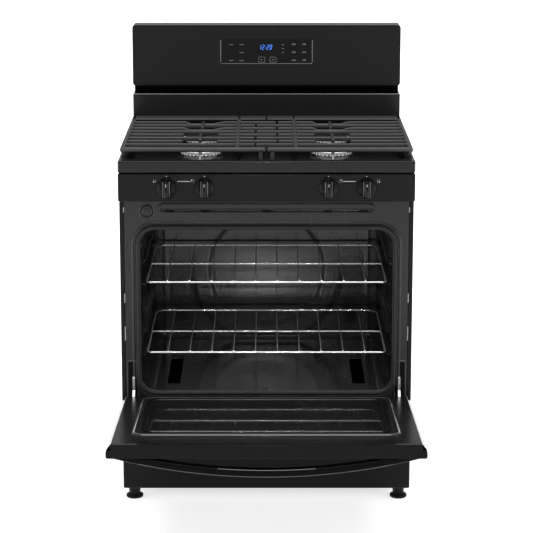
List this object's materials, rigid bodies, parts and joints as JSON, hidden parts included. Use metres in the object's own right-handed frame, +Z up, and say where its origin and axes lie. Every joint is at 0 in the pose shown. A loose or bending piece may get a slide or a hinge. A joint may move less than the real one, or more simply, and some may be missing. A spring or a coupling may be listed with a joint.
{
  "type": "freestanding gas range",
  "caption": "Freestanding gas range with a burner cooktop, cast grates, knobs, backguard console, drop-down oven door, oven racks and a lower drawer.",
  "frame": {"origin": "on the floor, at the middle of the width, in the plane of the range's back", "axes": "+Z up, +Y towards the wall behind, +X to the right of someone facing the front"},
  "size_m": [0.759, 1.1801, 1.192],
  "materials": {
    "black_enamel": "gloss",
    "grey_enamel": "semi-gloss with fine speckle",
    "cast_iron": "satin enamel",
    "chrome": "bright",
    "bright_steel": "satin",
    "zinc_steel": "galvanised",
    "cast_aluminium": "as cast",
    "brass": "machined",
    "black_plastic": "semi-gloss",
    "foot_plastic": "matte",
    "dark_glass": "polished",
    "door_glass": "polished",
    "seal_rope": "woven glass fibre",
    "mineral_wool": "fibrous",
    "white_ceramic": "glazed",
    "circuit_board": "solder mask"
  },
  "bodies": {
    "range_body": {"side_panel_left": "black_enamel", "side_panel_right": "black_enamel", "rear_panel": "zinc_steel", "base_frame": "zinc_steel", "foot_brackets": "bright_steel", "levelling_feet": "foot_plastic", "front_frame": "grey_enamel", "door_gasket": "seal_rope", "oven_wall_left": "grey_enamel", "oven_wall_right": "grey_enamel", "oven_wall_top": "grey_enamel", "oven_wall_back": "grey_enamel", "oven_floor": "grey_enamel", "oven_insulation": "mineral_wool", "control_panel": "black_enamel", "gas_manifold": "bright_steel", "burner_valves": "brass", "burner_supply_tubes": "cast_aluminium", "gas_regulator": "cast_aluminium", "oven_burner": "bright_steel", "oven_igniter": "white_ceramic", "temperature_probe": "bright_steel", "cooktop_pan": "black_enamel", "burner_heads": "cast_aluminium", "burner_caps": "cast_iron", "spark_electrodes": "white_ceramic", "backguard_console": "black_enamel", "backguard_riser": "black_enamel", "vent_louvre": "grey_enamel", "backguard_back_cover": "zinc_steel", "display_window": "dark_glass", "control_board": "circuit_board", "hinge_receivers": "zinc_steel", "hinge_arms": "bright_steel", "drawer_rails": "zinc_steel"},
    "oven_door": {"door_outer_panel": "black_enamel", "door_outer_glass": "door_glass", "door_liner": "black_enamel", "door_inner_glass": "door_glass", "door_insulation": "mineral_wool", "door_top_trim": "black_enamel", "door_handle": "black_plastic", "hinge_channels": "zinc_steel", "hinge_pins": "bright_steel"},
    "drawer": {"drawer_front": "black_enamel", "drawer_tub": "zinc_steel", "drawer_runners": "bright_steel"},
    "upper_rack": {"oven_rack_upper": "chrome"},
    "lower_rack": {"oven_rack_lower": "chrome"},
    "left_grate": {"grate_left": "cast_iron"},
    "right_grate": {"grate_right": "cast_iron"},
    "stem_1": {"valve_stem_1": "bright_steel"},
    "knob_1": {"burner_knob_1": "black_plastic"},
    "stem_2": {"valve_stem_2": "bright_steel"},
    "knob_2": {"burner_knob_2": "black_plastic"},
    "stem_3": {"valve_stem_3": "bright_steel"},
    "knob_3": {"burner_knob_3": "black_plastic"},
    "stem_4": {"valve_stem_4": "bright_steel"},
    "knob_4": {"burner_knob_4": "black_plastic"}
  },
  "joints": [
    {"name": "door_hinge", "type": "hinge", "parent": "range_body", "child": "oven_door", "pos_m": [0, -0.644, 0.273], "axis": [-1, 0, 0], "range_deg": [0, 85]},
    {"name": "drawer_slide", "type": "slide", "parent": "range_body", "child": "drawer", "axis": [0, -1, 0], "range_m": [0, 0.38]},
    {"name": "upper_rack_slide", "type": "slide", "parent": "range_body", "child": "upper_rack", "axis": [0, 1, 0], "range_m": [-0.3, 0]},
    {"name": "lower_rack_slide", "type": "slide", "parent": "range_body", "child": "lower_rack", "axis": [0, 1, 0], "range_m": [-0.3, 0]},
    {"name": "left_grate_lift", "type": "slide", "parent": "range_body", "child": "left_grate", "axis": [0, 0, 1], "range_m": [0, 0.12]},
    {"name": "right_grate_lift", "type": "slide", "parent": "range_body", "child": "right_grate", "axis": [0, 0, 1], "range_m": [0, 0.12]},
    {"name": "knob_1_turn", "type": "hinge", "parent": "range_body", "child": "stem_1", "pos_m": [-0.255, -0.668, 0.845], "axis": [0, -1, 0], "range_deg": [0, 270]},
    {"name": "knob_1_push", "type": "slide", "parent": "stem_1", "child": "knob_1", "axis": [0, 1, 0], "range_m": [0, 0.003], "stiffness_N_per_m": 900},
    {"name": "knob_2_turn", "type": "hinge", "parent": "range_body", "child": "stem_2", "pos_m": [-0.158, -0.668, 0.845], "axis": [0, -1, 0], "range_deg": [0, 270]},
    {"name": "knob_2_push", "type": "slide", "parent": "stem_2", "child": "knob_2", "axis": [0, 1, 0], "range_m": [0, 0.003], "stiffness_N_per_m": 900},
    {"name": "knob_3_turn", "type": "hinge", "parent": "range_body", "child": "stem_3", "pos_m": [0.158, -0.668, 0.845], "axis": [0, -1, 0], "range_deg": [0, 270]},
    {"name": "knob_3_push", "type": "slide", "parent": "stem_3", "child": "knob_3", "axis": [0, 1, 0], "range_m": [0, 0.003], "stiffness_N_per_m": 900},
    {"name": "knob_4_turn", "type": "hinge", "parent": "range_body", "child": "stem_4", "pos_m": [0.255, -0.668, 0.845], "axis": [0, -1, 0], "range_deg": [0, 270]},
    {"name": "knob_4_push", "type": "slide", "parent": "stem_4", "child": "knob_4", "axis": [0, 1, 0], "range_m": [0, 0.003], "stiffness_N_per_m": 900}
  ]
}
